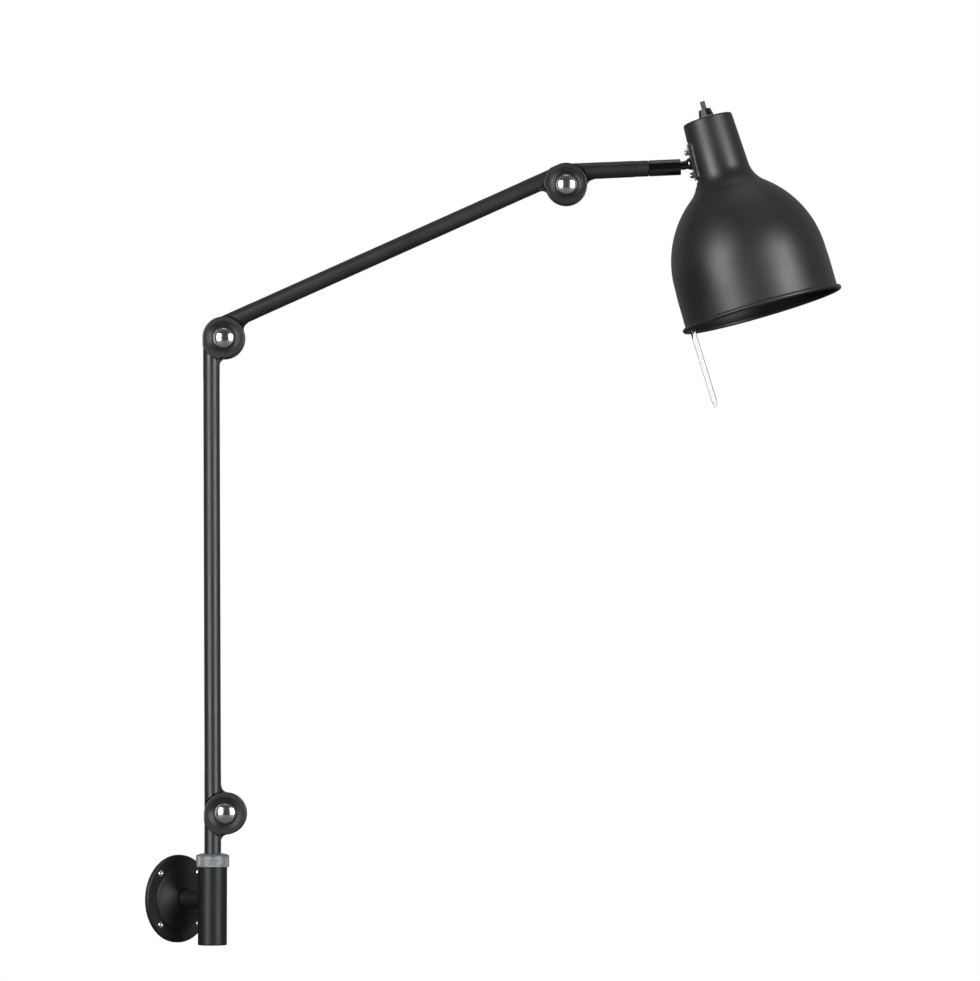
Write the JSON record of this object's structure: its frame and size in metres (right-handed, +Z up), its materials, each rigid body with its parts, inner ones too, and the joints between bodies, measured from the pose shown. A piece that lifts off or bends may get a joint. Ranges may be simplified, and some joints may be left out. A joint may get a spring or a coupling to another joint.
{
  "type": "articulating wall lamp",
  "caption": "Wall lamp with a round mounting plate, swivelling post, folding tube arms with disc elbows, and a ball-jointed bell shade with switch and clear handle.",
  "frame": {"origin": "centre of the wall plate's back face, on the wall", "axes": "+Z up, +Y into the wall, the lamp stands out towards -Y, +X to the right of someone who faces the wall"},
  "size_m": [0.4867, 0.522, 0.8192],
  "materials": {
    "charcoal": "satin powder coat",
    "black": "satin powder coat",
    "chrome": "polished",
    "dark_chrome": "polished black chrome",
    "steel": "zinc plated",
    "collar_grey": "knurled, anodised",
    "nylon": "moulded",
    "ceramic": "glazed",
    "black_plastic": "moulded",
    "gloss_black": "moulded, polished",
    "pad_black": "matt",
    "brass": "plain",
    "clear": "clear acrylic, polished",
    "bulb": "frosted"
  },
  "bodies": {
    "wall_base": {"wall_plate": "black", "wall_neck": "black", "wall_screws": "chrome", "terminal_block": "nylon", "socket_tube": "black", "socket_end_cap": "black", "swivel_bushes": "nylon"},
    "collar": {"knurled_collar": "collar_grey", "clamp_ring": "nylon"},
    "swivel": {"swivel_knuckle": "charcoal", "swivel_post": "charcoal", "post_circlip": "steel", "elbow_1_bolt": "steel", "elbow_1_nut": "steel", "elbow_1_washer": "nylon", "elbow_1_front_cap": "chrome"},
    "arm_1": {"arm_1_tube": "charcoal", "arm_1_low_knuckle": "charcoal", "arm_1_high_knuckle": "charcoal", "elbow_1_back_cap": "chrome", "elbow_2_bolt": "steel", "elbow_2_nut": "steel", "elbow_2_washer": "nylon", "elbow_2_front_cap": "chrome"},
    "arm_2": {"arm_2_tube": "charcoal", "arm_2_low_knuckle": "charcoal", "arm_2_high_knuckle": "charcoal", "elbow_2_back_cap": "chrome", "elbow_3_bolt": "steel", "elbow_3_nut": "steel", "elbow_3_washer": "nylon", "elbow_3_front_cap": "chrome"},
    "arm_3": {"arm_3_tube": "charcoal", "arm_3_knuckle": "charcoal", "ball_housing": "charcoal", "elbow_3_back_cap": "chrome"},
    "sleeve": {"lock_sleeve": "dark_chrome", "ball_seat": "nylon", "seat_washer": "steel"},
    "stud": {"ball_stud": "dark_chrome", "stud_nut": "steel"},
    "head": {"shade": "charcoal", "clamp_plate_front": "chrome", "clamp_pad": "pad_black", "clamp_plate_back": "chrome", "clamp_screws": "chrome", "clamp_nuts": "steel", "holder_bracket": "steel", "holder_nipple": "steel", "nipple_nuts": "steel", "lamp_holder": "black_plastic", "holder_insert": "ceramic", "holder_contact": "brass", "bulb_cap": "brass", "bulb_glass": "bulb", "switch_body": "black_plastic", "switch_nut": "gloss_black", "handle_rod": "clear", "handle_clip": "black_plastic"},
    "switch_plunger": {"switch_button": "black_plastic"}
  },
  "joints": [
    {"name": "base_swivel", "type": "hinge", "parent": "wall_base", "child": "swivel", "pos_m": [0, -0.05, 0], "axis": [0, 0, 1], "range_deg": [-118, 31]},
    {"name": "collar_turn", "type": "hinge", "parent": "wall_base", "child": "collar", "pos_m": [0, -0.05, 0], "axis": [0, 0, 1], "range_deg": [-90, 90]},
    {"name": "elbow_1_fold", "type": "hinge", "parent": "swivel", "child": "arm_1", "pos_m": [0.00845, -0.05894, 0.0832], "axis": [-0.7266, -0.6871, 0], "range_deg": [-158, 30]},
    {"name": "elbow_2_fold", "type": "hinge", "parent": "arm_1", "child": "arm_2", "pos_m": [0.00635, -0.05672, 0.54399], "axis": [-0.7266, -0.6871, 0], "range_deg": [-66, 90]},
    {"name": "elbow_3_fold", "type": "hinge", "parent": "arm_2", "child": "arm_3", "pos_m": [0.23499, -0.2985, 0.69396], "axis": [-0.7266, -0.6871, 0], "range_deg": [-85, 50]},
    {"name": "head_roll", "type": "hinge", "parent": "arm_3", "child": "sleeve", "pos_m": [0.30828, -0.376, 0.71087], "axis": [0.6864, -0.7259, 0.0431], "range_deg": [-170, 170]},
    {"name": "head_tilt", "type": "hinge", "parent": "sleeve", "child": "stud", "pos_m": [0.30828, -0.376, 0.71087], "axis": [-0.7266, -0.6871, 0], "range_deg": [-27, 6]},
    {"name": "head_turn", "type": "hinge", "parent": "stud", "child": "head", "pos_m": [0.30828, -0.376, 0.71087], "axis": [0.669, -0.7075, 0.2277], "range_deg": [-90, 90]},
    {"name": "switch_press", "type": "slide", "parent": "head", "child": "switch_plunger", "axis": [0.1876, -0.1984, -0.962], "range_m": [0, 0.0025], "stiffness_N_per_m": 400, "springref_m": -0.0005}
  ]
}
